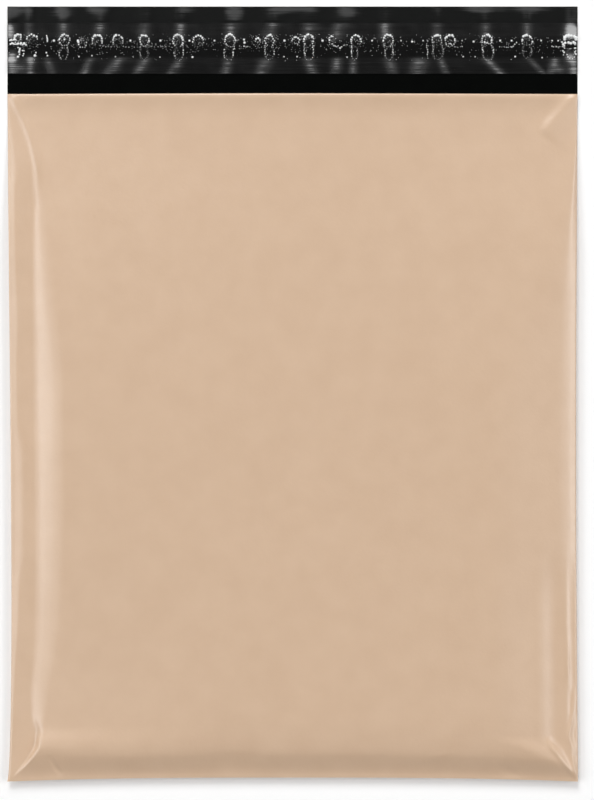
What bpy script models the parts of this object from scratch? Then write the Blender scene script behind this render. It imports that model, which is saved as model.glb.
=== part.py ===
"""A poly mailer bag, plumped and lying on its back, with the flap open.

The bag is one cut of film: it runs from the front panel's lip down to the bottom
fold, back up behind the front panel and on past the lip as the flap. The two
panels are welded to each other along both sides. Across the flap's inner face lie
a band of adhesive and the clear liner that protects it.

X runs across the bag, Y from the bottom fold towards the flap, Z up from the floor.
The origin is under the middle of the whole bag, on the floor. Lengths are in metres.
"""

import math

import bmesh
import bpy

# The cut
WIDTH = 0.254  # across the welded sides
POUCH = 0.306  # from the bottom fold to the front panel's lip
FLAP = 0.039  # from that lip to the flap's free edge
FILM = 0.00006  # thickness of the film

MM = 0.001  # the tables of points below are in millimetres

# The plumped pouch
FILL_HEIGHT = 0.0085  # the front panel's top above the floor
SEAM_HEIGHT = 0.0031  # the welded sides and the bottom fold above the floor
MOUTH_GAPE = 0.005  # how far the lip stands off the back panel at its middle
GAPE_POWER = 1.5  # the higher, the further the lip keeps its height towards the welds
TOP_SLOPE = 0.150  # how far below the lip the panel starts to come down to it
BACK_ROLL = 0.010  # width of the rim where the back panel leaves the floor
EDGE_LIFT = 0.0003  # how far the front panel stands off the back one beside the welds
EDGE_RUN = 0.0004

# Left side: a bead along the weld, a flat margin, a flank and a gentle crown. The tables'
# first number is the distance up from the bottom fold, except in the flank's shape
BEAD = (
    (0, 0.5), (12, 0.5), (45, 0.8), (67, 1.6), (90, 2.1), (100, 3.0), (145, 3.0), (160, 1.7),
    (185, 1.7), (205, 2.1), (235, 1.65), (262, 1.65), (279, 2.9), (290, 2.0), (306, 0.5),
)
BEAD_RISE = 0.5  # as a share of the distance in to its middle, which the table gives
LEFT_SKIRT = (
    (0, 1.4), (5.8, 5.2), (12.5, 9.7), (16, 11.2), (21, 11.4), (28, 9.4), (40, 8.6),
    (56, 10.0), (82, 10.5), (220, 10.7), (248, 11.8), (266, 13.6), (281, 11.6), (292, 8.0),
    (306, 1.6),
)
LEFT_FLANK = (
    (0, 2.4), (20, 2.6), (32, 7.0), (45, 9.2), (62, 11.2), (80, 12.4), (98, 13.3),
    (120, 13.8), (185, 13.8), (212, 12.0), (243, 7.5), (268, 5.0), (290, 3.2), (306, 2.6),
)
FLANK_SHAPE = ((0, 0), (0.08, 0.05), (0.4, 0.49), (0.65, 0.80), (0.8, 0.925), (1, 1))
FLANK_SHARE = (
    (0, 0.4), (18, 0.4), (30, 0.31), (45, 0.3), (62, 0.4), (80, 0.53), (98, 0.72), (115, 0.8),
    (306, 0.85),
)
CROWN_RUN = 0.110

# Right side: a rounded edge, which parts into two steps lower down. Points are
# (distance in from the edge, rise)
RIGHT_EDGE = (
    (0, 0), (0.45, 0.2), (1.1, 0.52), (1.8, 0.87), (2.5, 1.17), (3.6, 1.48), (5.4, 1.92),
    (7.1, 2.26), (9, 2.5), (13, 2.95), (20, 3.8), (28, 4.75), (36, 5.4),
)
RIGHT_STEPS = (
    (0, 0), (0.6, 0.17), (1.6, 0.32), (2.5, 0.52), (3.4, 0.82), (4.4, 1.24), (5.2, 1.4),
    (8.4, 1.43), (10.2, 1.54), (11.9, 1.88), (13.7, 2.4), (15.5, 2.89), (17.3, 3.2),
    (20, 3.46), (25, 4.1), (30, 4.75), (36, 5.4),
)
# How far both are drawn together near the corners: (distance up, share)
RIGHT_WIDTHS = ((0, 0.2), (18.5, 1), (150, 1), (240, 0.6), (280, 0.32), (306, 0.2))
STEPS_END = 0.092  # above the bottom fold, the middle of where the steps run out
STEPS_RUN = 0.040  # length over which they do

# Bottom: a margin and a slope. Points are (distance up from the bottom fold, rise)
BOTTOM = (
    (0, 0), (1.2, 0.12), (2.5, 0.38), (4, 0.86), (6, 1.7), (8.5, 2.83), (11, 3.78),
    (13.8, 4.36), (19, 4.94), (26, 5.35), (40, 5.46), (90, 5.5),
)

# How far the plumped bag draws its edges in
LEFT_PULL = 0.0020
RIGHT_PULL = 0.0009
BOTTOM_PULL = 0.0018

# The adhesive and its liner
GAP = 0.0003  # between stacked pieces
ADHESIVE_WIDTH = 0.013
ADHESIVE_THICKNESS = 0.00015
LINER_WIDTH = 0.0227
LINER_THICKNESS = 0.00004
LINER_TO_EDGE = 0.0073  # from the liner to the flap's free edge
END_MARGIN = 0.0004  # the bands stop this far short of the flap's sides
BLISTERS = 12
BLISTER_PITCH = 0.0188
BLISTER_WIDTH = 0.0046
BLISTER_LENGTH = 0.0118
BLISTER_HEIGHT = 0.0005

# How finely the film is divided
FLANK_COLUMNS = 4
CROWN_COLUMNS = 5
LEVEL_COLUMNS = 5
RIGHT_COLUMNS = (0, 0.5, 1.1, 1.8, 3.4, 4.4, 5.4, 8.4, 10.2, 11.9, 13.7, 15.5, 17.3, 20, 28, 36)
FOOT_END = 40
BODY_ROWS = 6
NECK_ROWS = 12
BLISTER_COLUMNS = (-1.0, -0.55, 0.0, 0.55, 1.0)
BLISTER_ROWS = (-1.0, -0.8, -0.4, 0.0, 0.4, 0.8, 1.0)
SOFTNESS = 4  # the higher, the sharper the ridges where two slopes meet

COLLECTION = "poly_mailer_bag"
FLOOR_TO_FLAP = FILM  # height of the flap's inner face
MIDDLE = (POUCH + FLAP) / 2  # the origin, measured up from the bottom fold


def clear_scene():
    for item in list(bpy.data.objects):
        bpy.data.objects.remove(item, do_unlink=True)


def clamp(value):
    return min(1.0, max(0.0, value))


def smooth(value):
    value = clamp(value)
    return value * value * (3 - 2 * value)


def steps(count):
    return [k / count for k in range(count + 1)]


def least(*shares):
    """A soft minimum of shares from 0 to 1: it is 0 where any is 0, and 1 where all are."""
    if min(shares) <= 0:
        return 0.0
    total = sum(share**-SOFTNESS for share in shares) - (len(shares) - 1)
    return total ** (-1 / SOFTNESS)


def slope_at(points, k):
    """The slope of a smooth curve through points, at the kth of them, without overshoot."""
    rises = [
        (high[1] - low[1]) / (high[0] - low[0])
        for low, high in zip(points[max(k - 1, 0) : k + 1], points[max(k, 1) : k + 2])
    ]
    if k in (0, len(points) - 1):
        return rises[0]
    before, after = rises
    return 2 * before * after / (before + after) if before * after > 0 else 0.0


def through(points, at):
    """The value at a place of a smooth curve through points (place, value)."""
    at = min(max(at, points[0][0]), points[-1][0])
    k = next(k for k in range(len(points) - 1) if at <= points[k + 1][0])
    (start, low), (end, high) = points[k], points[k + 1]
    span = end - start
    t = (at - start) / span
    value = (1 + 2 * t) * (1 - t) ** 2 * low + t * t * (3 - 2 * t) * high
    value += t * (1 - t) ** 2 * span * slope_at(points, k)
    return value + t * t * (t - 1) * span * slope_at(points, k + 1)


def seam_height(up):
    """The height of the welded sides, at a distance up from the bottom fold."""
    return SEAM_HEIGHT * smooth((POUCH - up) / TOP_SLOPE)


def left_share(inward, up):
    """Share of the full rise at a distance in from the left edge."""
    bead = through(BEAD, up / MM) * MM
    run = inward - through(LEFT_SKIRT, up / MM) * MM
    rise = BEAD_RISE * bead / (FILL_HEIGHT - SEAM_HEIGHT)
    main = through(FLANK_SHARE, up / MM)
    flank = through(FLANK_SHAPE, run / MM / through(LEFT_FLANK, up / MM))
    crown = 1 - (1 - clamp(run / CROWN_RUN)) ** 2
    lifted = main * flank + (1 - main) * crown
    return rise * smooth(inward / (2 * bead)) + (1 - rise) * lifted


def right_share(inward, up):
    """The same on the right."""
    inward = inward / MM / through(RIGHT_WIDTHS, up / MM)
    high = through(RIGHT_EDGE, inward) / RIGHT_EDGE[-1][1]
    low = through(RIGHT_STEPS, inward) / RIGHT_STEPS[-1][1]
    return high + (low - high) * smooth(0.5 + (STEPS_END - up) / STEPS_RUN)


def edges(up):
    """Where the left and right edges are, drawn in by the plumped middle."""
    share = clamp(up / POUCH)
    left = LEFT_PULL * math.sin(math.pi * share**0.5)
    right = RIGHT_PULL * math.sin(math.pi * share)
    return left - WIDTH / 2, WIDTH / 2 - right


def columns(up):
    """Places right across the bag, closer where the film turns."""
    left, right = edges(up)
    bead = through(BEAD, up / MM) * MM
    skirt = through(LEFT_SKIRT, up / MM) * MM
    flank = through(LEFT_FLANK, up / MM) * MM
    ours = [0, EDGE_RUN, bead, 2 * bead]
    ours += [skirt + flank * t for t in steps(FLANK_COLUMNS)]
    ours += [skirt + flank + (CROWN_RUN - flank) * t for t in steps(CROWN_COLUMNS)[1:]]
    width = through(RIGHT_WIDTHS, up / MM) * MM
    start, end = left + ours[-1], right - RIGHT_COLUMNS[-1] * width
    level = [start + (end - start) * t for t in steps(LEVEL_COLUMNS)[1:-1]]
    theirs = [right - run * width for run in reversed(RIGHT_COLUMNS)]
    return [left + run for run in ours] + level + theirs


def bottom_rise(up):
    """The bottom slope's share of the full rise."""
    return clamp(through(BOTTOM, up / MM) / BOTTOM[-1][1])


def top_rise(up, x):
    """The top slope's share of the full rise, down to the lip's gape."""
    gape = MOUTH_GAPE / FILL_HEIGHT * (1 - abs(2 * x / WIDTH) ** GAPE_POWER)
    return max(gape + (1 - gape) * smooth((POUCH - up) / TOP_SLOPE), 0.0)


def front_height(up, x):
    left, right = edges(up)
    seam = seam_height(up)
    across = min(left_share(x - left, up), right_share(right - x, up))
    plump = least(across, bottom_rise(up), top_rise(up, x))
    lift = EDGE_LIFT * clamp(min(x - left, right - x) / EDGE_RUN)
    return seam + lift + (FILL_HEIGHT - EDGE_LIFT - seam) * plump


def back_height(up, x):
    left, right = edges(up)
    inward = min(x - left, right - x)
    side = 1 - (1 - clamp(inward / BACK_ROLL)) ** 2
    bottom = 1 - (1 - clamp(up / BACK_ROLL)) ** 2
    return seam_height(up) * (1 - least(side, bottom))


def pouch_rows():
    """Distances up from the bottom fold, from 0 to the lip, closer where the film turns."""
    foot = [up * MM for up, rise in BOTTOM if up <= FOOT_END]
    level = POUCH - TOP_SLOPE
    body = [foot[-1] + (level - foot[-1]) * t for t in steps(BODY_ROWS)[1:]]
    neck = [level + TOP_SLOPE * t for t in steps(NECK_ROWS)[1:]]
    return foot + body + neck


def place(up, x, z):
    """A point of the folded bag, with the bottom fold's middle drawn up."""
    drawn = BOTTOM_PULL * (1 - abs(2 * x / WIDTH) ** 3)
    if up < POUCH:
        up = drawn + up * (1 - drawn / POUCH)
    return x, up - MIDDLE, z


def folded_points():
    """Rows of points in the order of the cut: down the front, up the back, along the flap."""
    ups = pouch_rows()
    rows = []
    for up in reversed(ups):
        rows.append([place(up, x, front_height(up, x)) for x in columns(up)])
    for up in ups[1:]:
        rows.append([place(up, x, back_height(up, x)) for x in columns(up)])
    rows.append([place(POUCH + FLAP, x, 0.0) for x in columns(POUCH)])
    return rows


def sheet(name, rows, thickness):
    """A film through rows of points: a flat grid that is moved to them and then thickened.

    The thickness grows to the side that the rows turn anticlockwise to.
    """
    shape = bmesh.new()
    across, along = len(rows[0]), len(rows)
    bmesh.ops.create_grid(shape, x_segments=across - 1, y_segments=along - 1, size=1)
    shape.verts.ensure_lookup_table()
    flat = sorted(shape.verts, key=lambda v: (round(v.co.y, 4), round(v.co.x, 4)))
    for vertex, point in zip(flat, (point for row in rows for point in row)):
        vertex.co = point
    bmesh.ops.remove_doubles(shape, verts=shape.verts, dist=0.00001)
    mesh = bpy.data.meshes.new(name)
    shape.to_mesh(mesh)
    shape.free()
    mesh.shade_smooth()
    made = bpy.data.objects.new(name, mesh)
    bpy.data.collections[COLLECTION].objects.link(made)
    skin = made.modifiers.new("thickness", "SOLIDIFY")
    skin.thickness = thickness
    skin.offset = 1
    skin.use_even_offset = True
    return made


def material(name, colour, roughness, alpha=1.0):
    made = bpy.data.materials.new(name)
    made.use_nodes = True
    shader = made.node_tree.nodes["Principled BSDF"]
    shader.inputs["Base Color"].default_value = (*colour, 1.0)
    shader.inputs["Roughness"].default_value = roughness
    shader.inputs["Metallic"].default_value = 0.0
    shader.inputs["Alpha"].default_value = alpha
    return made


def bag_film():
    made = sheet("bag_film", folded_points(), FILM)
    made.data.materials.append(material("black film inside", (0.006, 0.006, 0.006), 0.35))
    made.data.materials.append(material("tan film outside", (0.69, 0.50, 0.34), 0.38))
    made.modifiers["thickness"].material_offset = 1


def band_middle():
    """The middle of the liner and the adhesive, measured up from the bottom fold."""
    return POUCH + FLAP - LINER_TO_EDGE - LINER_WIDTH / 2


def adhesive_strip():
    bottom = FLOOR_TO_FLAP + GAP
    shape = bmesh.new()
    bmesh.ops.create_cube(shape, size=1)
    size = (WIDTH - 2 * END_MARGIN, ADHESIVE_WIDTH, ADHESIVE_THICKNESS)
    bmesh.ops.scale(shape, verts=shape.verts, vec=size)
    mesh = bpy.data.meshes.new("adhesive_strip")
    shape.to_mesh(mesh)
    shape.free()
    made = bpy.data.objects.new("adhesive_strip", mesh)
    made.location = (0, band_middle() - MIDDLE, bottom + ADHESIVE_THICKNESS / 2)
    bpy.data.collections[COLLECTION].objects.link(made)
    made.data.materials.append(material("adhesive", (0.03, 0.03, 0.03), 0.25))


def blister_places():
    first = -BLISTER_PITCH * (BLISTERS - 1) / 2
    return [first + BLISTER_PITCH * k for k in range(BLISTERS)]


def liner_points():
    """Rows of the liner's underside, raised into an oval blister at each place."""
    end = WIDTH / 2 - END_MARGIN
    across = [x + BLISTER_WIDTH / 2 * k for x in blister_places() for k in BLISTER_COLUMNS]
    along = [BLISTER_LENGTH / 2 * k for k in BLISTER_ROWS]
    xs = [-end, *across, end]
    ys = [-LINER_WIDTH / 2, *along, LINER_WIDTH / 2]
    level = FLOOR_TO_FLAP + GAP + ADHESIVE_THICKNESS + GAP
    rows = []
    for y in ys:
        row = []
        for x in xs:
            near = min(blister_places(), key=lambda place: abs(place - x))
            off = math.hypot((x - near) / (BLISTER_WIDTH / 2), y / (BLISTER_LENGTH / 2))
            raised = BLISTER_HEIGHT * math.sqrt(max(0.0, 1 - off**2))
            row.append((x, band_middle() - MIDDLE + y, level + raised))
        rows.append(row)
    return rows


def release_liner():
    made = sheet("release_liner", liner_points(), LINER_THICKNESS)
    made.data.materials.append(material("clear film", (0.8, 0.8, 0.8), 0.12, alpha=0.35))


def main():
    clear_scene()
    bpy.context.scene.collection.children.link(bpy.data.collections.new(COLLECTION))
    bag_film()
    adhesive_strip()
    release_liner()


main()
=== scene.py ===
"""The looks of a plumped poly mailer bag that lies on its back with the flap open.

The bag's film is one folded sheet, made here again from the sizes of the solid, with
all its ridges and creases. Over the flap's inner face lie the adhesive, the clear
liner with its haze and painted sheen, and the air bubbles that are trapped under it, pale
as painted glints. Lengths are in metres.

A place on the bag is given by x, from the middle to the right, and by its distance
up from the bottom fold.
"""

import math

import bmesh
import bpy
import numpy as np
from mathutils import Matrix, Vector

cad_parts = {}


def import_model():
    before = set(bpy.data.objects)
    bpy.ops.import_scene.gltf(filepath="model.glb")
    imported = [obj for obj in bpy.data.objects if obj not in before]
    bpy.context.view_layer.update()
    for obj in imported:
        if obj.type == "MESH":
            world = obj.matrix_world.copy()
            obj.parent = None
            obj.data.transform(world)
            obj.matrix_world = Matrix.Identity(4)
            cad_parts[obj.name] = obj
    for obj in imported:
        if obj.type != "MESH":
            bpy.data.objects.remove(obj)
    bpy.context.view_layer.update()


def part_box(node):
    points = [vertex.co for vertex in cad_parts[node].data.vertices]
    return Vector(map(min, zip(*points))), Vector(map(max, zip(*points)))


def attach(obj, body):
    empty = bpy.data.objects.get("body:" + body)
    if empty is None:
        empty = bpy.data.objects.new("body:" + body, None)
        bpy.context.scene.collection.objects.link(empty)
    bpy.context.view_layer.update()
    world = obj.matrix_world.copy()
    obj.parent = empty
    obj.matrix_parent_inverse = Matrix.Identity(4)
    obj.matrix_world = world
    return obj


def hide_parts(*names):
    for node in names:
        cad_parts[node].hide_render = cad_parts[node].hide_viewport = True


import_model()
GLUE_LOW, GLUE_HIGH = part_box("adhesive_strip")
LINER_LOW, LINER_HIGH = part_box("release_liner")

MM = 0.001

# Sizes of the cut, which the solids have too
WIDTH = 0.254
POUCH = 0.306
FLAP = 0.039
FILM = 0.00006
MIDDLE = (POUCH + FLAP) / 2

# Heights of the plumped pouch
FILL_HEIGHT = 0.0085
SEAM_HEIGHT = 0.0031
MOUTH_GAPE = 0.0050
GAPE_POWER = 1.5  # the higher, the further the lip keeps its height towards the welds
TOP_SLOPE = 0.150  # how far below the lip the panel starts to come down to it
SEAM_SLOPE = 0.080  # the same for the welds
BACK_ROLL = 0.010  # width of the rim where the back panel leaves the floor
EDGE_LIFT = 0.0003  # how far the front panel stands off the back one beside the welds
EDGE_RUN = 0.0004
SOFTNESS = 4  # the higher, the sharper the ridges where two slopes meet
LEAST_SHARE, NO_SHARE = 1e-6, 1e20  # guards for a slope's share of 0
# The lip flares up, and its cut edge turns under: (distance from the lip, rise) in mm
LIP = (
    (0, 0.1), (0.12, 0.42), (0.35, 0.62), (0.8, 0.74), (1.3, 0.75), (4, 0.45), (7, 0.15),
    (9.5, 0.02), (11, 0),
)
LIP_RUN = 0.011  # the flare's length

# Left side: a flat margin, then a flank. The margin's outer part rises like a bead, whose
# points are (height up the bag, distance in to the bead's middle) in mm
BEAD = (
    (0, 0.5), (12, 0.5), (45, 0.8), (67, 1.6), (90, 2.1), (100, 3.0), (145, 3.0), (160, 1.7),
    (185, 1.7), (205, 2.1), (235, 1.65), (262, 1.65), (279, 2.9), (290, 2.0), (306, 0.5),
)
BEAD_RISE = 0.4  # as a share of that distance
# How wide the margin and the flank are: (height up the bag, width) in mm
SKIRT = (
    (0, 1.4), (2.7, 2.8), (5.8, 5.2), (9.4, 7.7), (12.5, 9.7), (16, 11.2), (21, 11.4),
    (28, 9.4), (40, 8.6), (56, 10.0), (82, 10.5), (220, 10.7), (248, 11.2), (262, 12.1),
    (271, 12.4), (281, 10.8), (288, 9.4), (292, 7.8), (297, 5.8), (306, 1.6),
)
LEFT_FLANK = (
    (0, 2.6), (16, 2.6), (32, 7.0), (45, 9.2), (62, 11.2), (80, 12.4), (98, 13.3),
    (120, 13.8), (185, 13.8), (212, 12.0), (228, 9.8), (243, 7.7), (256, 5.8), (268, 4.4),
    (290, 3.2), (306, 2.6),
)
# The flank's shape: (share of its width, share of its rise), and its share of the full
# rise at each height up the bag. A gentle crown takes the rest
FLANK_SHAPE = (
    (0, 0), (0.08, 0.05), (0.4, 0.49), (0.65, 0.80), (0.8, 0.925), (0.92, 0.985), (1, 1),
)
FLANK_SHARE = (
    (0, 0.78), (13, 0.78), (24, 0.36), (33, 0.31), (45, 0.3), (62, 0.4), (80, 0.53),
    (98, 0.72), (115, 0.8), (185, 0.85), (214, 0.82), (228, 0.64), (241, 0.48), (254, 0.34),
    (268, 0.24), (306, 0.2),
)
CROWN_RUN = 0.110  # the crown's width, from the margin

# Right side: a rounded edge, and lower down two steps with a terrace between them.
# Points are (distance in from the edge, rise) in mm
RIGHT_EDGE = (
    (0, 0), (0.45, 0.14), (1.1, 0.38), (1.8, 0.66), (2.5, 0.95), (3.6, 1.32), (5.4, 1.82),
    (7.1, 2.2), (9, 2.48), (13, 2.95), (20, 3.8), (28, 4.75), (36, 5.4),
)
RIGHT_STEPS = (
    (0, 0), (0.6, 0.17), (1.6, 0.32), (2.5, 0.52), (3.4, 0.82), (4.4, 1.24), (5.2, 1.4),
    (8.4, 1.43), (10.2, 1.54), (11.9, 1.88), (13.7, 2.4), (15.5, 2.89), (17.3, 3.2),
    (20, 3.46), (25, 4.1), (30, 4.75), (36, 5.4),
)
# How far both are drawn together near the corners: (height up the bag, share)
RIGHT_WIDTHS = (
    (0, 0.1), (13, 0.6), (20, 1), (150, 1), (214, 0.85), (260, 0.66), (285, 0.4), (306, 0.2),
)
STEPS_END = 0.092  # the steps give way to the rounded edge about this far up
STEPS_RUN = 0.040  # over this length

# Bottom: a fold, a narrow margin and a slope. Points are (height up the bag, rise) in mm
FOLD_RADIUS = 0.0006
BOTTOM = (
    (0, 0), (1.2, 0.12), (2.5, 0.38), (4, 0.86), (6, 1.7), (8.5, 2.83), (11, 3.78),
    (13.8, 4.36), (19, 4.94), (26, 5.35), (40, 5.46), (90, 5.5),
)

# How much nearer the fold that slope is drawn: (x in mm, share)
BOTTOM_DRAW = (
    (-127, 0.85), (-109, 0.85), (-99, 0.95), (-88, 1), (-72, 1.05), (-60, 1.04), (-48, 1.01),
    (-38, 0.95), (-29, 0.87), (-21, 0.88), (-13, 1), (30, 1), (60, 1.04), (95, 1.06),
    (108, 1.15), (127, 1.15),
)

# How far the plumped middle draws in the two sides and the bottom fold
LEFT_PULL = 0.0020
RIGHT_PULL = 0.0009
BOTTOM_PULL = 0.0018
BOTTOM_CURVE = 3  # the higher, the straighter the fold's middle

# Gentle waves all over the front panel
WAVE_HEIGHT = 0.10 * MM
WAVES = (5, 9, 0.09, 0.03)  # seed, how many, longest and shortest
WAVES_EDGE = 3 * MM  # they fade out this near the sides and the fold
WAVES_LIP = 6 * MM  # and this near the lip
LIP_FLOOR = 0.001  # the lip's flare fades out where the panel is lower than this

# Ridges and creases: the points (x, height up the bag) that each passes through in mm,
# its reach to the left and to the right of that way, and its height, negative for a furrow
CREASES = (
    (
        ((-125.4, 305), (-121.4, 297), (-117.6, 288), (-115.3, 280), (-113.9, 271), (-114.0, 258)),
        2.0, 1.1, 0.75,
    ),
    (((127.6, 305), (122.6, 300.9), (117.8, 296), (113.8, 291), (111.6, 288)), 7.0, 2.5, 0.85),
    (
        ((126.0, 40), (125.2, 35), (124.1, 27), (123.1, 20.5), (124.2, 16), (126.0, 12)),
        1.2, 0.8, 0.7,
    ),
    (((123.2, 66), (122.4, 56), (122.8, 46), (124.6, 38.5), (125.8, 34)), 0.8, 0.8, 0.3),
    (((113.4, 20), (114.6, 15.6), (117.6, 11.8), (121.5, 7), (125.8, 1.4)), 1.4, 0.7, 0.55),
    (((-108.1, 11.1), (-105.5, 6.0), (-102.7, 1.8)), 0.8, 0.8, -0.5),
    (((59.0, 7.1), (64.0, 9.8), (68.0, 12.0)), 0.8, 0.8, 0.35),
    (((92.5, 6.5), (96.0, 3.5), (99.1, 1.8)), 1.2, 1.2, -0.45),
)
CREASE_STEPS = 8  # short straight steps along each, to a point of it

# The photograph's scale, for the places on the flap that were read off it in pixels
PIXEL = 0.0004456
MIDDLE_PIXEL = 292.5  # the bag's middle line
FOLD_PIXEL = 781  # the bottom fold
EDGE_PIXEL, BAND_TOP_PIXEL, BAND_LOW_PIXEL, LINER_LOW_PIXEL = 6, 38, 57, 74

# Ripples in the film and liner: pixel across at the free end, at the adhesive, half width
RIPPLES_ABOVE = (
    (12, 10, 5), (30, 29, 3), (64, 63, 3.5), (105, 97, 4), (147, 143, 4), (182, 180, 4),
    (234, 231, 4.5), (277, 269, 5), (312, 308, 5), (345, 336, 5.5), (388, 384, 4.5),
    (436, 437, 3.5), (484, 486, 3.5), (527, 527, 3.5), (572, 569, 5),
)
RIPPLES_BELOW = (
    (12, 10, 5), (31, 32, 3), (52, 47, 3), (84, 92, 3.5), (110, 121, 5), (138, 147, 4),
    (172, 182, 4), (226, 229, 4), (262, 267, 5), (313, 308, 4), (335, 338, 4),
    (353, 354, 3), (393, 388, 4), (417, 420, 6), (446, 439, 3), (500, 484, 4),
    (543, 527, 3), (551, 556, 4), (574, 570, 5),
)
RIPPLE_SLOPE = 0.15  # height over half width
RIPPLE_FADE = 0.7  # share of the way from the adhesive over which they rise
RIPPLE_START = 0.0015  # the same in the bare film, from the liner's edge

# Trapped air, whose beads are made near white as painted glints, in pixels: (across, down, half
# width, half height, from angle, to angle, bead)
RINGS = (
    (18, 38, 3.5, 3.5, 0, 360, 1.6), (32, 39.5, 5, 4.5, 0, 180, 1.1),
    (64.5, 40.5, 5, 5.8, 0, 360, 1.2), (82.5, 43.5, 4, 4.5, 170, 370, 1.3),
    (97.5, 41, 5, 5.5, -25, 205, 1.2), (118, 41, 5, 5.5, -20, 200, 1.1),
    (144.5, 41, 4.3, 5.5, 0, 360, 1.1), (178, 41, 5, 6, -60, 230, 1.3),
    (198.5, 41.5, 5.3, 5.5, -10, 190, 1.1), (230, 41, 5.2, 6, 0, 360, 1.2),
    (257.5, 40.5, 2, 2.2, 0, 360, 1.0), (269.5, 41, 4.2, 5.5, -50, 230, 1.2),
    (295.5, 41, 3.7, 3.7, -90, 180, 1.0), (308.5, 41, 4.7, 6, -30, 210, 1.2),
    (331.5, 40.5, 2.5, 4, 60, 300, 1.1), (356, 41, 4.8, 5.5, -10, 190, 1.1),
    (388, 41, 5, 6, 0, 360, 1.1), (437, 41, 4.5, 5.5, -20, 200, 1.1),
    (450, 41, 4.8, 5.5, 0, 360, 1.1), (486.5, 41, 5.2, 6, -20, 200, 1.2),
    (527, 41, 5, 5.5, -30, 210, 1.3), (570, 40, 6, 4, 0, 180, 1.9),
)
CUPS = (
    (63.5, 54, 4.2, 6, 170, 350, 0.9), (144, 53, 4, 7, 180, 360, 0.6),
    (179, 54, 4.5, 6.5, 180, 370, 1.0), (228.5, 54, 4.5, 6.5, 150, 370, 1.0),
    (269.5, 53, 4.5, 7, 170, 370, 0.8), (309, 54, 4.5, 7, 170, 370, 0.9),
    (354.5, 53, 3, 7, 150, 300, 1.0), (389, 53, 4, 7.5, 160, 380, 0.7),
    (438, 52, 5, 8, 160, 380, 0.6), (488, 52, 5.5, 9, 170, 370, 0.9),
    (527, 51, 4.5, 7, 180, 360, 0.5), (571, 54, 4.5, 5, 190, 350, 2.0),
)
# Strings of beads: from (across, down) to (across, down), how many, bead
STRINGS = (
    ((9, 44), (26, 45), 14, 1.8), ((18.5, 46), (19, 57), 9, 1.5),
    ((23, 50), (23.5, 56), 5, 1.0), ((10, 41), (16, 40), 5, 1.4),
    ((47.5, 36), (47.5, 42), 6, 1.1), ((68, 48), (67.5, 55), 5, 0.7),
    ((100, 47), (172, 47), 26, 0.5), ((183, 44), (183.5, 54), 7, 0.8),
    ((234, 47), (233, 56), 6, 0.7), ((240, 47), (250, 47), 6, 0.6),
    ((265, 46), (265, 54), 5, 0.6), ((274, 46), (274, 54), 5, 0.6),
    ((304, 46), (304.5, 54), 6, 0.8), ((313, 46), (313.5, 54), 6, 0.7),
    ((334, 46), (340, 47.5), 5, 0.9), ((340, 47.5), (347, 44.5), 5, 0.9),
    ((351.5, 44), (351.5, 54), 7, 0.8), ((384, 46), (385, 54), 5, 0.6),
    ((393, 46), (393, 54), 5, 0.6), ((427.5, 42), (427, 58), 9, 0.7),
    ((433, 46), (433, 52), 4, 0.5), ((442, 46), (443, 52), 4, 0.5),
    ((447, 44.5), (453, 44.5), 5, 1.0), ((455, 47), (462, 47), 4, 0.6),
    ((482, 46), (483, 52), 4, 0.7), ((492, 46), (493, 52), 4, 0.7),
    ((484, 42), (490, 44), 6, 1.0), ((500, 47), (512, 47.5), 7, 0.6),
    ((512, 47), (516, 43), 4, 0.8), ((552, 47), (562, 47), 6, 0.7),
    ((562, 43), (577, 43), 12, 1.7), ((564, 46), (563, 54), 6, 1.2),
    ((576, 46), (575, 54), 6, 1.2),
)
# Single beads: (across, down, bead)
DOTS = (
    (35, 56, 1.9), (36, 53, 1.2), (46.5, 53, 1.2), (47.5, 56, 1.2), (54, 41, 1.7),
    (64.5, 40, 1.2), (78, 41, 1.7), (79, 57, 1.1), (92, 56, 1.0), (115.5, 57, 0.9),
    (130.5, 41, 1.4), (133, 57, 0.5), (160.5, 41, 1.5), (160, 57.5, 0.8), (189.5, 41, 1.4),
    (192.5, 57.5, 1.4), (214.5, 41, 1.2), (244, 40, 1.4), (244.5, 43, 1.6), (244, 46.5, 0.9),
    (284.5, 41, 1.6), (284, 57, 1.0), (297, 57, 1.1), (322.5, 41, 1.7), (347, 57.5, 0.9),
    (372, 41, 1.2), (401, 41, 1.0), (412, 42, 1.4), (423, 41, 1.0), (462, 41, 0.8),
    (463, 57, 0.9), (473.5, 42, 1.5), (475, 57, 0.9), (500, 41, 1.3), (511.5, 41, 1.3),
    (515, 57, 1.2), (541, 41, 1.1), (542, 58, 0.9), (552, 41, 1.1), (558, 41, 1.1),
)
BEAD_SEED = 8
BEAD_SCALE = 1.75
BEAD_PITCH = 1.9  # from one bead to the next along a ring, in pixels
BEAD_SPREAD = 0.3  # how far one lies off its ring
STRING_SPREAD = 0.35  # the same on a string, and more for each pixel over the plain bead
STRING_MORE = 0.6
PLAIN_BEAD = 0.8
RING_SIZES = (0.6, 1.35)  # least and greatest, as shares of the bead
STRING_SIZES = (0.5, 1.2)
RING_EVEN, RING_TOP = 0.85, 0.4  # a ring's beads are larger at its top
CUP_SHARE = 0.8
BEAD_FLATNESS = 0.8

# Fine grains of air, pale as painted sparkle: some gather round the rings, and the rest lie all along
# the band
GRAINS = 1700
GRAIN_SIZES = (0.12, 0.42)
RING_GRAINS = 0.6  # share of them round the rings
RING_REACH = 5  # pixels
RING_ROW = 41
BAND_SIDES = (9, 577)
BAND_ROW, BAND_REACH = 46, 7
BEADS_ACROSS = (8.5, 576.5)  # beads outside these are left out
BEADS_DOWN = (34, 62)

BLISTER_HEIGHT = 0.0003
BLISTER_EDGE = 1.25  # where a ring's blister ends, in its half widths
BLISTER_SLOPE = 2
LINER_THICKNESS = 0.00004
LINER_GRID = (860, 54)  # points across and down

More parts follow.
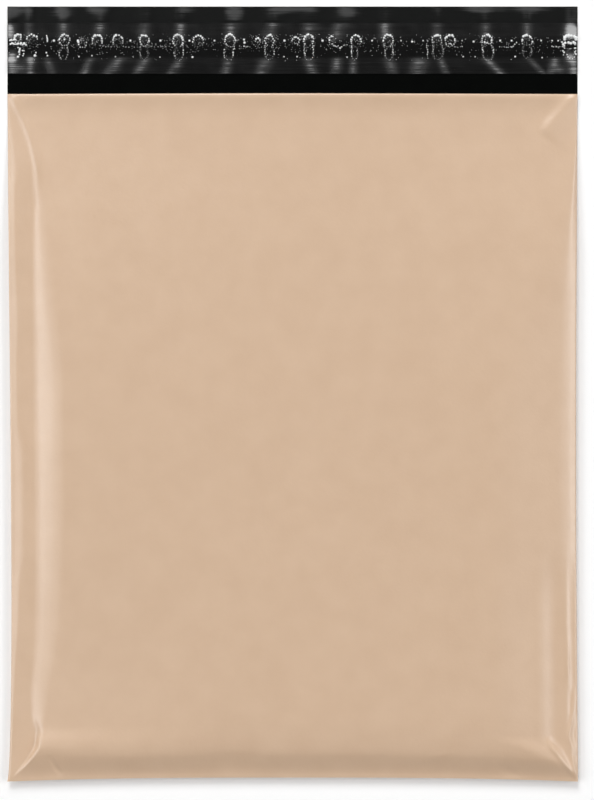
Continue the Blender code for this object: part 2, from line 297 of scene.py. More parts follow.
# The adhesive's surface: small lumps, and a rim that wavers
ADHESIVE_GRID = (420, 24)
ADHESIVE_SKIN = 0.00004
LUMPS = (3, 24, 0.004, 0.0012)  # waves: seed, how many, longest and shortest
LUMP_LEVEL, LUMP_HEIGHT = 0.5, 0.25  # as shares of the band's thickness
RIM = 0.0012
RIM_WAVER = 0.0006
RIM_WAVES = (31, 6, 0.012, 0.003)

# Painted glows of highlight on the liner and the bare film, added to their haze: (pixels across and
# down, half widths, strength)
PAINTED_GLOWS = (
    (12, 57, 5, 5, 1.8), (18, 70, 8, 6, 0.9), (9, 30, 4, 9, 0.7), (30, 60, 5, 4, 0.7),
    (573, 31, 6, 8, 1.9), (571, 56, 6, 4, 1.7), (574, 68, 4, 7, 0.9), (560, 70, 5, 5, 0.6),
    (62, 11, 12, 6, 0.9), (16, 11, 12, 5, 1.0), (95, 9, 10, 6, 0.8), (290, 9, 22, 4, 1.1),
    (186, 9, 12, 4, 0.8), (235, 12, 8, 8, 0.9), (350, 12, 10, 6, 0.7), (482, 9, 20, 4, 1.0),
    (530, 9, 18, 4, 1.0),
)
HAZE_AND_SHEEN_MOST = 2
LINES = (50, 2200, 50)  # how closely its lines lie, a metre
LINE_RANGE = (0.5, 1.3)
# Above and below the adhesive: pixels down where the haze starts and is whole, then its
# strength between the streaks, and that of the painted sheen on them
UPPER_FADE, UPPER_HAZE, STREAK_SHEEN = (46, 34), 0.20, 0.8
LOWER_FADE, LOWER_HAZE, STREAK_BELOW = (56, 60), 0.16, 0.75
BARE_FADE, BARE_LESS = (25, 22), 0.55  # there is less of it on the bare film above the liner
BARE_EDGE = 0.7 * MM
STREAK_WIDTH = 1.3  # over the ripple's half width
PATCHES = (17, 9, 0.030, 0.006)  # waves: seed, how many, longest and shortest
PATCH_EVEN, PATCH_SHARE = 0.75, 0.6

# How finely the film is divided
EDGE_STEPS = MM * np.array(
    (0, 0.12, 0.35, 0.65, 1.0, 1.35, 1.7, 2.05, 2.4, 2.75, 3.1, 3.45, 3.8, 4.2)
)
LIP_ROWS = (9.5, 8, 6.5, 5, 4, 3, 2.2, 1.6, 1.3, 1.05, 0.8, 0.57, 0.35, 0.22, 0.12, 0.05, 0)
FOLD_ROWS, FOOT_ROWS, BODY_ROWS, NECK_ROWS = 4, 43, 56, 34
BACK_FOLD, BACK_NECK, BACK_SKIP = 4, 100, 3  # the back has each third row between those two
LINER_ROWS, BARE_ROWS = 11, 13  # rows of the flap, under the liner and above it
SIDE_STEP = 0.72 * MM
LEFT_SIDE = 34 * MM
RIGHT_SIDE = 26 * MM
LEVEL_COLUMNS = 76
PLATEAU_LOW = 0.030
PLATEAU_HIGH = 0.250
WELD_REACH = 1e-5
SHARP_ANGLE = 50

# Material colours and roughness, how fine each grain is, a metre, and how high
TAN = ((0.672, 0.472, 0.322), (0.702, 0.500, 0.346))
TAN_ROUGHNESS = (0.32, 0.40)
BLACK = ((0.0004, 0.0007, 0.0005), (0.0008, 0.0012, 0.0009))
BLACK_CLEAR, BLACK_DULL = 0.18, 0.33  # roughness near the mouth and at the free edge
BLACK_ROWS = (60, 30)  # pixels down between which it changes
# The haze here includes the painted sheen and painted glows
BLACK_GLOSS, GLOSS_HAZE = (0.45, 1.0), (0.2, 1.0)  # specular level, by the haze
# The adhesive's colours by its grain: near black, with paler specks that are painted sparkle
GLUE_AND_SPARKLE = ((0.5, (0.003, 0.0034, 0.003)), (0.64, (0.012, 0.013, 0.012)), (0.74, (0.07, 0.073, 0.07)))
GLUE_ROUGHNESS = 0.3
# Near white: the air's pale colour is painted glint
AIR_AND_GLINT = ((0.80, 0.81, 0.81), (0.97, 0.98, 0.98))
AIR_ROUGHNESS = 0.25
# The liner's colour by its haze: near black where clear, dark grey with haze, and pale up to near
# white as painted sheen and painted glows
LINER_TONES = ((0.0, 0.005), (0.4, 0.022), (1.0, 0.7))
LINER_CLEAR = 0.20
HAZE_DULL = 0.60
LINER_ALPHA = 0.45
TAN_MOTTLE, TAN_SHEEN, TAN_GRAIN = 90, 400, 700
BLACK_MOTTLE, BLACK_GRAIN = 150, 900
GLUE_GRAIN, AIR_GRAIN, LINER_GRAIN = 1500, 800, 260
TAN_BUMP, BLACK_BUMP, GLUE_BUMP, LINER_BUMP = 0.00004, 0.00003, 0.0001, 0.00004
NOISE_RANGE = (0.3, 0.7)  # where nearly all of a noise's values lie

# Camera, floor and lights
PHOTO_HEIGHT = 800
VIEW_HEIGHT = 1.8
VIEW_PLACE = (0.0020, -0.0028)  # the photograph's middle on the bag
SENSOR = 36
CLIP = (0.1, 20)
FLOOR_HALF = 3.0
FLOOR_DROP = 0.00005
LIGHT_DISTANCE = 8.0
# Name, azimuth, elevation, share of a level surface's full brightness, and the two sides
# as shares of the distance
LIGHTS = (
    ("key", 100, 42, 0.44, (0.48, 0.48)),
    ("left strip", 180, 40, 0.235, (0.72, 0.4)),
    ("right strip", 0, 40, 0.26, (0.72, 0.4)),
    ("high left strip", 180, 66, 0.07, (0.72, 0.2)),
    ("high right strip", 0, 66, 0.04, (0.72, 0.2)),
)
WHITE = (1, 1, 1, 1)
FLOOR_COLOUR = (0.93, 0.93, 0.93, 1)
FLOOR_GLOW = 0.08  # lifts the floor to white where no shadow falls
FILL_LIGHT = 0.03
BACKDROP_TOP = (0.5, 0.3)  # where the white backdrop has ended and is whole: sine of elevation


def clamp(value):
    return np.clip(value, 0.0, 1.0)


def smooth(value):
    value = clamp(value)
    return value * value * (3 - 2 * value)


def through(points, at):
    """A smooth curve through points (place, value), read at each place in at.

    It never rises above or falls below the two points that it runs between.
    """
    places, values = np.array(points, float).T
    rises = np.diff(values) / np.diff(places)
    before, after = rises[:-1], rises[1:]
    total = np.where(before + after == 0, 1, before + after)
    even = np.where(before * after > 0, 2 * before * after / total, 0)
    slopes = np.concatenate((rises[:1], even, rises[-1:]))
    at = np.clip(at, places[0], places[-1])
    k = np.clip(np.searchsorted(places, at) - 1, 0, len(places) - 2)
    span = places[k + 1] - places[k]
    t = (at - places[k]) / span
    start = (1 + 2 * t) * (1 - t) ** 2 * values[k] + t * (1 - t) ** 2 * span * slopes[k]
    end = t**2 * (3 - 2 * t) * values[k + 1] + t**2 * (t - 1) * span * slopes[k + 1]
    return start + end


def smooth_path(points, count):
    """A smooth path through points, as count points of it."""
    points = np.array(points, float)
    order = np.arange(len(points))
    at = np.linspace(0, len(points) - 1, count)
    return np.column_stack([through(np.column_stack((order, column)), at) for column in points.T])


def photo_x(pixel):
    return (pixel - MIDDLE_PIXEL) * PIXEL


def photo_y(pixel):
    return (FOLD_PIXEL - pixel) * PIXEL - MIDDLE


def least(*shares):
    """A soft minimum of shares from 0 to 1: it is 0 where any is 0, and 1 where all are."""
    shares = [np.maximum(share, LEAST_SHARE) for share in shares]
    total = sum(share**-SOFTNESS for share in shares) - (len(shares) - 1)
    return np.maximum(total, 1) ** (-1 / SOFTNESS) * (total < NO_SHARE)


def waves(x, y, seed, count, longest, shortest):
    """Gentle waves between -1 and 1 that are the same each time for a seed."""
    draw = np.random.default_rng(seed)
    total = np.zeros(np.shape(x))
    for _ in range(count):
        length = shortest * (longest / shortest) ** draw.random()
        turn, phase = draw.random(2) * 2 * math.pi
        total += np.sin((x * math.cos(turn) + y * math.sin(turn)) * 2 * math.pi / length + phase)
    return total / count


def edges(up):
    """Where the left and right edges are, drawn in by the plumped middle."""
    share = clamp(up / POUCH)
    left = LEFT_PULL * np.sin(math.pi * share**0.5)
    right = RIGHT_PULL * np.sin(math.pi * share)
    return left - WIDTH / 2, WIDTH / 2 - right


def left_share(inward, up):
    """Share of the full rise at a distance in from the left edge."""
    skirt = through(SKIRT, up / MM) * MM
    flank = through(LEFT_FLANK, up / MM) * MM
    bead = through(BEAD, up / MM) * MM
    rise = BEAD_RISE * bead / (FILL_HEIGHT - SEAM_HEIGHT)
    main = through(FLANK_SHARE, up / MM)
    rest = 1 - (1 - clamp((inward - skirt) / CROWN_RUN)) ** 2
    lifted = main * through(FLANK_SHAPE, (inward - skirt) / flank) + (1 - main) * rest
    return rise * smooth(inward / (2 * bead)) + (1 - rise) * lifted


def right_share(inward, up):
    """The same on the right."""
    inward = inward / MM / through(RIGHT_WIDTHS, up / MM)
    high = through(RIGHT_EDGE, inward) / RIGHT_EDGE[-1][1]
    low = through(RIGHT_STEPS, inward) / RIGHT_STEPS[-1][1]
    return high + (low - high) * smooth(0.5 + (STEPS_END - up) / STEPS_RUN)


def bottom_share(up, x):
    """The bottom slope's share of the full rise."""
    return clamp(through(BOTTOM, up / MM * through(BOTTOM_DRAW, x / MM)) / BOTTOM[-1][1])


def top_share(up, x):
    """The top slope's share of the full rise, down to the lip's gape."""
    gape = MOUTH_GAPE / FILL_HEIGHT * (1 - abs(2 * x / WIDTH) ** GAPE_POWER)
    return np.maximum(gape + (1 - gape) * smooth((POUCH - up) / TOP_SLOPE), 0)


def seam_height(up):
    return SEAM_HEIGHT * smooth((POUCH - up) / SEAM_SLOPE)


def crease_height(x, up, points, left, right, height):
    """One ridge or furrow, which fades out at both ends."""
    path = smooth_path(points, CREASE_STEPS * len(points)) * MM
    nearest = np.full(np.shape(x), 1.0)
    along = np.zeros(np.shape(x))
    reach = np.full(np.shape(x), left * MM)
    for k, (start, end) in enumerate(zip(path, path[1:])):
        step = end - start
        out_x, out_up = x - start[0], up - start[1]
        t = clamp((out_x * step[0] + out_up * step[1]) / (step @ step))
        off = np.hypot(out_x - t * step[0], out_up - t * step[1])
        side = np.where(step[0] * out_up - step[1] * out_x > 0, left, right) * MM
        along = np.where(off < nearest, (k + t) / (len(path) - 1), along)
        reach = np.where(off < nearest, side, reach)
        nearest = np.minimum(nearest, off)
    fade = np.sin(math.pi * clamp(along)) ** 0.5
    return height * MM * np.exp(-((nearest / reach) ** 2)) * fade


def front_height(up, x):
    left, right = edges(up)
    across = np.minimum(left_share(x - left, up), right_share(right - x, up))
    seam = seam_height(up)
    plump = least(across, bottom_share(up, x), top_share(up, x))
    lift = EDGE_LIFT * clamp(np.minimum(x - left, right - x) / EDGE_RUN)
    height = seam + lift + (FILL_HEIGHT - EDGE_LIFT - seam) * plump
    inside = smooth(np.minimum(x - left, right - x) / WAVES_EDGE) * smooth(up / WAVES_EDGE)
    inside = inside * smooth((POUCH - up) / WAVES_LIP)
    for crease in CREASES:
        height = height + crease_height(x, up, *crease)
    height = height + WAVE_HEIGHT * inside * waves(x, up, *WAVES)
    return height + through(LIP, (POUCH - up) / MM) * MM * smooth(height / LIP_FLOOR)


def back_height(up, x):
    left, right = edges(up)
    side = 1 - (1 - clamp(np.minimum(x - left, right - x) / BACK_ROLL)) ** 2
    bottom = 1 - (1 - clamp(up / BACK_ROLL)) ** 2
    return seam_height(up) * (1 - least(side, bottom))


def film_columns(up):
    """Each row's places across the bag, for a column of heights up the bag."""
    left, right = edges(up)
    sides = [
        np.concatenate((EDGE_STEPS, np.arange(EDGE_STEPS[-1] + SIDE_STEP, reach, SIDE_STEP)))
        for reach in (LEFT_SIDE, RIGHT_SIDE)
    ]
    start, end = left + sides[0][-1], right - sides[1][-1]
    level = np.linspace(0, 1, LEVEL_COLUMNS)[1:-1]
    return np.hstack((left + sides[0], start + (end - start) * level, right - sides[1][::-1]))


def film_rows():
    """Distances up the bag from the bottom fold to the lip, closer where the film turns."""
    fold = FOLD_RADIUS * (1 - np.cos(np.linspace(0, math.pi / 2, FOLD_ROWS)))
    foot = np.linspace(FOLD_RADIUS, PLATEAU_LOW, FOOT_ROWS)[1:]
    body = np.linspace(PLATEAU_LOW, PLATEAU_HIGH, BODY_ROWS)[1:]
    neck = np.linspace(PLATEAU_HIGH, POUCH - LIP_RUN, NECK_ROWS)[1:]
    lip = POUCH - np.array(LIP_ROWS) * MM
    return np.concatenate((fold, foot, body, neck, lip))


def place(up, x, z):
    """Points of the folded bag, with the bottom fold's middle drawn up."""
    drawn = BOTTOM_PULL * (1 - abs(2 * x / WIDTH) ** BOTTOM_CURVE)
    up = np.where(up < POUCH, drawn + up * (1 - drawn / POUCH), up)
    return np.stack(np.broadcast_arrays(x, up - MIDDLE, z + FILM), axis=-1)


def streaks(x, y, lines, free, held):
    """Soft streaks of painted sheen along the ripples, from 1 on their middle to 0."""
    t = clamp((y - photo_y(free)) / (photo_y(held) - photo_y(free)))
    total = np.zeros(np.shape(x))
    for start, end, half_width in lines:
        middle = photo_x(start) + (photo_x(end) - photo_x(start)) * t
        reach = STREAK_WIDTH * half_width * PIXEL
        total = np.maximum(total, np.exp(-(((x - middle) / reach) ** 2)))
    return total


def down_photo(y, rows):
    """0 up to the first of two rows of the photograph and 1 from the second."""
    start, end = rows
    return smooth((y - photo_y(start)) / (photo_y(end) - photo_y(start)))


def haze_and_sheen_at(x, y):
    """Haze of the flap's film and liner with painted sheen: soft streaks of painted sheen, painted
    glows of highlight, and more haze at the top.
    """
    above = streaks(x, y, RIPPLES_ABOVE, EDGE_PIXEL, BAND_TOP_PIXEL)
    below = streaks(x, y, RIPPLES_BELOW, LINER_LOW_PIXEL, BAND_LOW_PIXEL)
    haze = down_photo(y, UPPER_FADE) * (UPPER_HAZE + STREAK_SHEEN * above)
    haze = haze * (1 - BARE_LESS * down_photo(y, BARE_FADE))
    haze = haze + down_photo(y, LOWER_FADE) * (LOWER_HAZE + STREAK_BELOW * below)
    for across, down, width, height, strength in PAINTED_GLOWS:
        off_x = (x - photo_x(across)) / (width * PIXEL)
        off_y = (y - photo_y(down)) / (height * PIXEL)
        haze = haze + strength * np.exp(-(off_x**2 + off_y**2))
    return haze * (PATCH_EVEN + PATCH_SHARE * clamp(waves(x, y, *PATCHES) + 0.5))


def flap_height(up, x):
    """The open flap lies flat, with slight waves in the bare film at its free edge."""
    bare = smooth((up - MIDDLE - LINER_HIGH.y) / RIPPLE_START)
    return bare * ripples(x, up - MIDDLE, RIPPLES_ABOVE, EDGE_PIXEL, BAND_TOP_PIXEL)


def film_points():
    """Rows of points in the order of the cut: down the front, up the back, along the flap."""
    ups = film_rows()
    front = ups[::-1, None]
    x = film_columns(front)
    parts = [place(front, x, front_height(front, x))]
    back = (ups[1:BACK_FOLD], ups[BACK_FOLD:BACK_NECK:BACK_SKIP], ups[BACK_NECK:])
    back = np.concatenate(back)[:, None]
    x = film_columns(back)
    parts.append(place(back, x, back_height(back, x)))
    bare_start = LINER_HIGH.y + MIDDLE
    flap = np.concatenate((
        np.linspace(POUCH, bare_start, LINER_ROWS)[1:],
        np.linspace(bare_start, POUCH + FLAP, BARE_ROWS)[1:],
    ))[:, None]
    x = film_columns(flap)
    parts.append(place(flap, x, flap_height(flap, x)))
    bare = smooth((flap - bare_start) / BARE_EDGE) * haze_and_sheen_at(x, flap - MIDDLE)
    hazes = [np.zeros(part.shape[:2]) for part in parts[:-1]]
    return np.concatenate(parts), np.concatenate((*hazes, bare))


def sheet(name, rows, thickness, materials, haze=None):
    """A film through rows of points, thickened on the side away from the inside.

    Where its haze and painted sheen are above 0, the film's surface is duller and paler; on the liner
    that paler colour is painted sheen.
    """
    down, across = rows.shape[:2]
    order = np.arange(down * across).reshape(down, across)
    faces = np.stack((order[:-1, :-1], order[1:, :-1], order[1:, 1:], order[:-1, 1:]), axis=-1)
    mesh = bpy.data.meshes.new(name)
    mesh.from_pydata(rows.reshape(-1, 3).tolist(), [], faces[..., ::-1].reshape(-1, 4).tolist())
    if haze is not None:
        held = mesh.attributes.new("haze", "FLOAT", "POINT")
        held.data.foreach_set("value", haze.ravel().astype(np.float32))
    made = bpy.data.objects.new(name, mesh)
    bpy.context.scene.collection.objects.link(made)
    for item in materials:
        mesh.materials.append(item)
    weld = made.modifiers.new("welds", "WELD")
    weld.merge_threshold = WELD_REACH
    skin = made.modifiers.new("thickness", "SOLIDIFY")
    skin.thickness = thickness
    skin.offset = 1
    skin.use_even_offset = True
    skin.material_offset = len(materials) - 1
    bpy.context.view_layer.objects.active = made
    for modifier in ("welds", "thickness"):
        with bpy.context.temp_override(object=made, active_object=made):
            bpy.ops.object.modifier_apply(modifier=modifier)
    made.data.shade_smooth()
    made.data.set_sharp_from_angle(angle=math.radians(SHARP_ANGLE))
    return made


class Nodes:
    """A short way to write a material's nodes."""

    def __init__(self, name):
        self.made = bpy.data.materials.new(name)
        self.made.use_nodes = True
        self.tree = self.made.node_tree
        self.shader = self.tree.nodes["Principled BSDF"]

    def add(self, kind, settings=(), **inputs):
        node = self.tree.nodes.new(kind)
        for key, value in dict(settings).items():
            setattr(node, key, value)
        for key, value in inputs.items():
            self.feed(node, key.replace("_", " "), value)
        return node

    def feed(self, node, key, value):
        socket = node.inputs[key]
        if isinstance(value, bpy.types.NodeSocket):
            self.tree.links.new(value, socket)
        else:
            socket.default_value = value

    def surface(self, **inputs):
        for key, value in inputs.items():
            self.feed(self.shader, key.replace("_", " "), value)

    def noise(self, scale, detail=3.0, roughness=0.5):
        node = self.add("ShaderNodeTexNoise", Scale=scale, Detail=detail, Roughness=roughness)
        self.tree.links.new(self.object_place(), node.inputs["Vector"])
        return node.outputs["Fac"]

    def ramp(self, value, *stops):
        """A colour or grey for each value: stops are (place, colour or grey)."""
        node = self.add("ShaderNodeValToRGB", Fac=value)
        elements = node.color_ramp.elements
        for k, (at, colour) in enumerate(stops):
            element = elements[k] if k < 2 else elements.new(at)
            element.position = at
            element.color = (colour,) * 3 + (1,) if isinstance(colour, float) else (*colour, 1)
        return node.outputs["Color"]

    def mottled(self, scale, pair, detail=3.0):
        """Noise between two colours or greys."""
        return self.ramp(self.noise(scale, detail), *zip(NOISE_RANGE, pair))

    def bump(self, height, distance):
        node = self.add("ShaderNodeBump", Height=height, Distance=distance, Strength=1.0)
        return node.outputs["Normal"]

    def object_place(self):
        return self.add("ShaderNodeTexCoord").outputs["Object"]

    def between(self, value, values, places=(0.0, 1.0)):
        """The value, changed from one range of places to another of values."""
        node = self.add("ShaderNodeMapRange", Value=value)
        for key, number in zip(("From Min", "From Max", "To Min", "To Max"), (*places, *values)):
            self.feed(node, key, number)
        return node.outputs["Result"]


def tan_film():
    nodes = Nodes("tan film")
    nodes.surface(
        Base_Color=nodes.mottled(TAN_MOTTLE, TAN, detail=4),
        Roughness=nodes.mottled(TAN_SHEEN, TAN_ROUGHNESS),
        Normal=nodes.bump(nodes.noise(TAN_GRAIN, detail=2), TAN_BUMP),
        Specular_IOR_Level=1.0,
    )
    return nodes.made


def hazy(nodes, clear, dull):
    """Roughness from clear to dull with the film's haze and painted sheen, in fine lines across the
    bag.
    """
    drawn = nodes.add("ShaderNodeMapping", Vector=nodes.object_place(), Scale=LINES).outputs["Vector"]
    lines = nodes.add("ShaderNodeTexNoise", Vector=drawn, Scale=1.0, Detail=2.0).outputs["Fac"]
    haze = nodes.add("ShaderNodeAttribute", {"attribute_name": "haze"}).outputs["Fac"]
    haze = calculate(nodes.tree, "MULTIPLY", haze, nodes.between(lines, LINE_RANGE, NOISE_RANGE))
    return haze, nodes.between(haze, (clear, dull))


def black_film():
    """Glossy near the mouth, and duller towards the flap's free edge."""
    nodes = Nodes("black film")
    up = nodes.add("ShaderNodeSeparateXYZ", Vector=nodes.object_place()).outputs["Y"]
    ends = [photo_y(row) for row in BLACK_ROWS]
    dull = nodes.between(up, (BLACK_CLEAR, BLACK_DULL), ends)
    haze, hazed = hazy(nodes, BLACK_CLEAR, HAZE_DULL)
    nodes.surface(
        Base_Color=nodes.mottled(BLACK_MOTTLE, BLACK),
        Roughness=calculate(nodes.tree, "MAXIMUM", dull, hazed),
        Specular_IOR_Level=nodes.between(haze, BLACK_GLOSS, GLOSS_HAZE),
        Normal=nodes.bump(nodes.noise(BLACK_GRAIN, detail=2), BLACK_BUMP),
    )
    return nodes.made


def adhesive_material():
    nodes = Nodes("adhesive")
    grain = nodes.noise(GLUE_GRAIN, detail=4, roughness=0.7)
    nodes.surface(
        # The grain's pale specks are painted sparkle
        Base_Color=nodes.ramp(grain, *GLUE_AND_SPARKLE),
        Roughness=GLUE_ROUGHNESS,
        Normal=nodes.bump(grain, GLUE_BUMP),
    )
    return nodes.made


def air_and_glint_material():
    """Air seen through the clear liner: near white as painted glints, with a bright gloss."""
    nodes = Nodes("air with painted glints")
    nodes.surface(
        Base_Color=nodes.mottled(AIR_GRAIN, AIR_AND_GLINT),
        Roughness=AIR_ROUGHNESS,
    )
    return nodes.made


def clear_film():
    nodes = Nodes("clear film")
    haze, roughness = hazy(nodes, LINER_CLEAR, HAZE_DULL)
    haze = calculate(nodes.tree, "MULTIPLY", haze, 1 / HAZE_AND_SHEEN_MOST)
    nodes.surface(
        # Its colour grows paler with the haze, up to near white as painted sheen and painted glows
        Base_Color=nodes.ramp(haze, *LINER_TONES),
        Roughness=roughness,
        Normal=nodes.bump(nodes.noise(LINER_GRAIN, detail=2), LINER_BUMP),
        Alpha=LINER_ALPHA,
        Specular_IOR_Level=1.0,
    )
    return nodes.made


def band_grid(low, high, counts):
    columns, rows = counts
    return np.meshgrid(np.linspace(low.x, high.x, columns), np.linspace(low.y, high.y, rows))


def adhesive_band():
    """A low grainy band, whose top is made of small lumps."""
    x, y = band_grid(GLUE_LOW, GLUE_HIGH, ADHESIVE_GRID)
    low, high = GLUE_LOW.z, GLUE_HIGH.z
    lumps = waves(x, y, *LUMPS)
    rim = np.minimum(y - GLUE_LOW.y, GLUE_HIGH.y - y)
    inside = smooth(rim / (RIM + RIM_WAVER * waves(x, y, *RIM_WAVES)))
    z = low + (high - low) * inside * (LUMP_LEVEL + LUMP_HEIGHT * lumps)
    rows = np.stack((x, y, z), axis=-1)
    return sheet("adhesive_band", rows, ADHESIVE_SKIN, [adhesive_material()])


def liner_height(x, y):
    """The clear liner's rise over the air rings, and its ripples above and below them."""
    z = ripples(x, y, RIPPLES_ABOVE, EDGE_PIXEL, BAND_TOP_PIXEL)
    z = z + ripples(x, y, RIPPLES_BELOW, LINER_LOW_PIXEL, BAND_LOW_PIXEL)
    for across, down, width, height in (ring[:4] for ring in (*RINGS, *CUPS)):
        off_x = (x - photo_x(across)) / (width * PIXEL)
        off_y = (y - photo_y(down)) / (height * PIXEL)
        rise = smooth(BLISTER_SLOPE * (BLISTER_EDGE - np.hypot(off_x, off_y)))
        z = np.maximum(z, BLISTER_HEIGHT * rise)
    return LINER_LOW.z + z


def liner_film():
    x, y = band_grid(LINER_LOW, LINER_HIGH, LINER_GRID)
    rows = np.stack((x, y, liner_height(x, y)), axis=-1)
    return sheet("liner_film", rows, LINER_THICKNESS, [clear_film()], haze_and_sheen_at(x, y))


def ripples(x, y, lines, free, held):
    """Soft ridges that fade out at the adhesive, from one height on the photograph to another.

    Each line gives its pixel across at the free end, at the held end, and its half width.
    """
    t = (y - photo_y(free)) / (photo_y(held) - photo_y(free))
    height = np.zeros(np.shape(x))
    for start, end, half_width in lines:
        middle = photo_x(start) + (photo_x(end) - photo_x(start)) * clamp(t)
        reach = half_width * PIXEL
        height = np.maximum(height, RIPPLE_SLOPE * reach * np.exp(-(((x - middle) / reach) ** 2)))
    return height * smooth((1 - t) / RIPPLE_FADE)


def bead_places():
    """Each pale bead of air under the liner, painted as a glint, as (x, y, radius), in rings, cups,
    strings and single dots.
    """
    beads = []
    draw = np.random.default_rng(BEAD_SEED)
    cups = [(*cup[:6], CUP_SHARE * cup[6]) for cup in CUPS]
    for across, down, width, height, start, end, size in (*RINGS, *cups):
        count = max(4, int((width + height) / 2 * math.radians(end - start) / BEAD_PITCH))
        for angle in np.radians(np.linspace(start, end, count)):
            shift = draw.normal(0, BEAD_SPREAD, 2)
            x = across + width * math.cos(angle) + shift[0]
            y = down - height * math.sin(angle) + shift[1]
            at_top = RING_EVEN + RING_TOP * math.sin(angle)
            beads.append((x, y, size * at_top * draw.uniform(*RING_SIZES)))
    for (x0, y0), (x1, y1), count, size in STRINGS:
        for t in np.linspace(0, 1, count):
            shift = draw.normal(0, STRING_SPREAD + STRING_MORE * max(size - PLAIN_BEAD, 0), 2)
            x, y = x0 + (x1 - x0) * t + shift[0], y0 + (y1 - y0) * t + shift[1]
            beads.append((x, y, size * draw.uniform(*STRING_SIZES)))
    for across, down, size in DOTS:
        beads.append((across, down, size))
    for _ in range(GRAINS):
        near = RINGS[draw.integers(len(RINGS))]
        if draw.random() < RING_GRAINS:
            x, y = near[0] + draw.normal(0, RING_REACH), draw.normal(RING_ROW, RING_REACH)
        else:
            x, y = draw.uniform(*BAND_SIDES), draw.normal(BAND_ROW, BAND_REACH)
        beads.append((x, y, draw.uniform(*GRAIN_SIZES)))
    return [
        (photo_x(x), photo_y(y), BEAD_SCALE * size * PIXEL / 2)
        for x, y, size in beads
        if BEADS_DOWN[0] < y < BEADS_DOWN[1] and BEADS_ACROSS[0] < x < BEADS_ACROSS[1]
    ]


def air_glint_beads():
    """Small flat domes of air between the adhesive and the liner, near white as painted glints."""
    shape = bmesh.new()
    bmesh.ops.create_icosphere(shape, subdivisions=1, radius=1)
    corners = np.array([v.co for v in shape.verts])
    faces = np.array([[v.index for v in f.verts] for f in shape.faces])
    shape.free()
    beads = np.array(bead_places())
    centres = np.column_stack((beads[:, :2], liner_height(beads[:, 0], beads[:, 1])))
    radii = beads[:, 2]
    scales = np.stack((radii, radii, radii * BEAD_FLATNESS), axis=-1)
    points = centres[:, None] + corners * scales[:, None]
    loops = faces + len(corners) * np.arange(len(beads))[:, None, None]
    mesh = bpy.data.meshes.new("air_glint_beads")
    mesh.from_pydata(points.reshape(-1, 3).tolist(), [], loops.reshape(-1, 3).tolist())
    mesh.shade_smooth()
    mesh.materials.append(air_and_glint_material())
    made = bpy.data.objects.new("air_glint_beads", mesh)
    bpy.context.scene.collection.objects.link(made)
    return made


def seen(tree):
    """1 for the camera's rays and those that reach it by gloss or through clear film."""
    path = tree.nodes.new("ShaderNodeLightPath")
    total = path.outputs["Is Camera Ray"]
    for ray in ("Is Glossy Ray", "Is Transmission Ray"):
        total = calculate(tree, "MAXIMUM", total, path.outputs[ray])
    return total


def calculate(tree, operation, first, second):
    node = tree.nodes.new("ShaderNodeMath")
    node.operation = operation
    for socket, value in zip(node.inputs, (first, second)):
        if isinstance(value, bpy.types.NodeSocket):
            tree.links.new(value, socket)
        else:
            socket.default_value = value
    return node.outputs[0]


def floor():
    mesh = bpy.data.meshes.new("floor")
    corners = [(FLOOR_HALF * x, FLOOR_HALF * y, 0) for x, y in ((-1, -1), (1, -1), (1, 1), (-1, 1))]
    mesh.from_pydata(corners, [], [(0, 1, 2, 3)])
    made = bpy.data.objects.new("floor", mesh)
    made.location.z = -FLOOR_DROP
    bpy.context.scene.collection.objects.link(made)
    nodes = Nodes("floor")
    nodes.surface(
        Base_Color=FLOOR_COLOUR,
        Roughness=1.0,
        Emission_Color=WHITE,
        Emission_Strength=calculate(nodes.tree, "MULTIPLY", seen(nodes.tree), FLOOR_GLOW),
        Specular_IOR_Level=0.0,
    )
    mesh.materials.append(nodes.made)


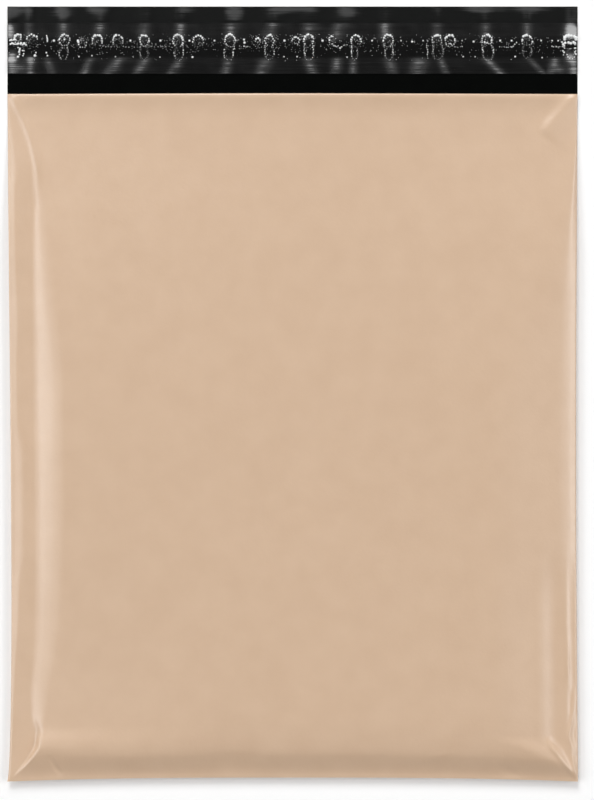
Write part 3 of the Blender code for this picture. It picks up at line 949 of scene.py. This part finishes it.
def studio_light(name, azimuth, elevation, share, size):
    """A far soft light that gives a level surface this share of its full brightness.

    Its size is a share of its distance.
    """
    turn, rise = math.radians(azimuth), math.radians(elevation)
    data = bpy.data.lights.new(name, "AREA")
    data.shape = "RECTANGLE"
    data.size, data.size_y = (side * LIGHT_DISTANCE for side in size)
    data.energy = share * (math.pi * LIGHT_DISTANCE) ** 2 / math.sin(rise)
    made = bpy.data.objects.new(name, data)
    out = Vector((math.cos(rise) * math.cos(turn), math.cos(rise) * math.sin(turn), math.sin(rise)))
    made.location = LIGHT_DISTANCE * out
    made.rotation_euler = out.to_track_quat("Z", "Y").to_euler()
    bpy.context.scene.collection.objects.link(made)


def lights():
    for light in LIGHTS:
        studio_light(*light)


def world():
    made = bpy.data.worlds.new("studio")
    made.use_nodes = True
    tree = made.node_tree
    background = tree.nodes["Background"]
    toward = tree.nodes.new("ShaderNodeTexCoord").outputs["Generated"]
    split = tree.nodes.new("ShaderNodeSeparateXYZ")
    tree.links.new(toward, split.inputs["Vector"])
    low = tree.nodes.new("ShaderNodeMapRange")
    tree.links.new(split.outputs["Z"], low.inputs["Value"])
    low.inputs["From Min"].default_value, low.inputs["From Max"].default_value = BACKDROP_TOP
    white = calculate(tree, "MULTIPLY", seen(tree), low.outputs["Result"])
    tree.links.new(calculate(tree, "MAXIMUM", white, FILL_LIGHT), background.inputs["Strength"])
    background.inputs["Color"].default_value = WHITE
    bpy.context.scene.world = made


def camera():
    data = bpy.data.cameras.new("camera")
    made = bpy.data.objects.new("camera", data)
    made.location = (*VIEW_PLACE, VIEW_HEIGHT)
    data.sensor_fit = "VERTICAL"
    data.sensor_height = SENSOR
    data.lens = SENSOR * VIEW_HEIGHT / (PHOTO_HEIGHT * PIXEL)
    data.clip_start, data.clip_end = CLIP
    bpy.context.scene.collection.objects.link(made)
    bpy.context.scene.camera = made


def main():
    points, haze = film_points()
    film = sheet("mailer_film", points, FILM, [black_film(), tan_film()], haze)
    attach(film, "root")
    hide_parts("bag_film")

    glue = adhesive_band()
    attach(glue, "root")
    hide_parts("adhesive_strip")

    beads = air_glint_beads()
    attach(beads, "root")

    liner = liner_film()
    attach(liner, "root")
    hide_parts("release_liner")

    floor()
    lights()
    world()
    camera()
    bpy.context.scene.view_settings.view_transform = "Standard"


main()
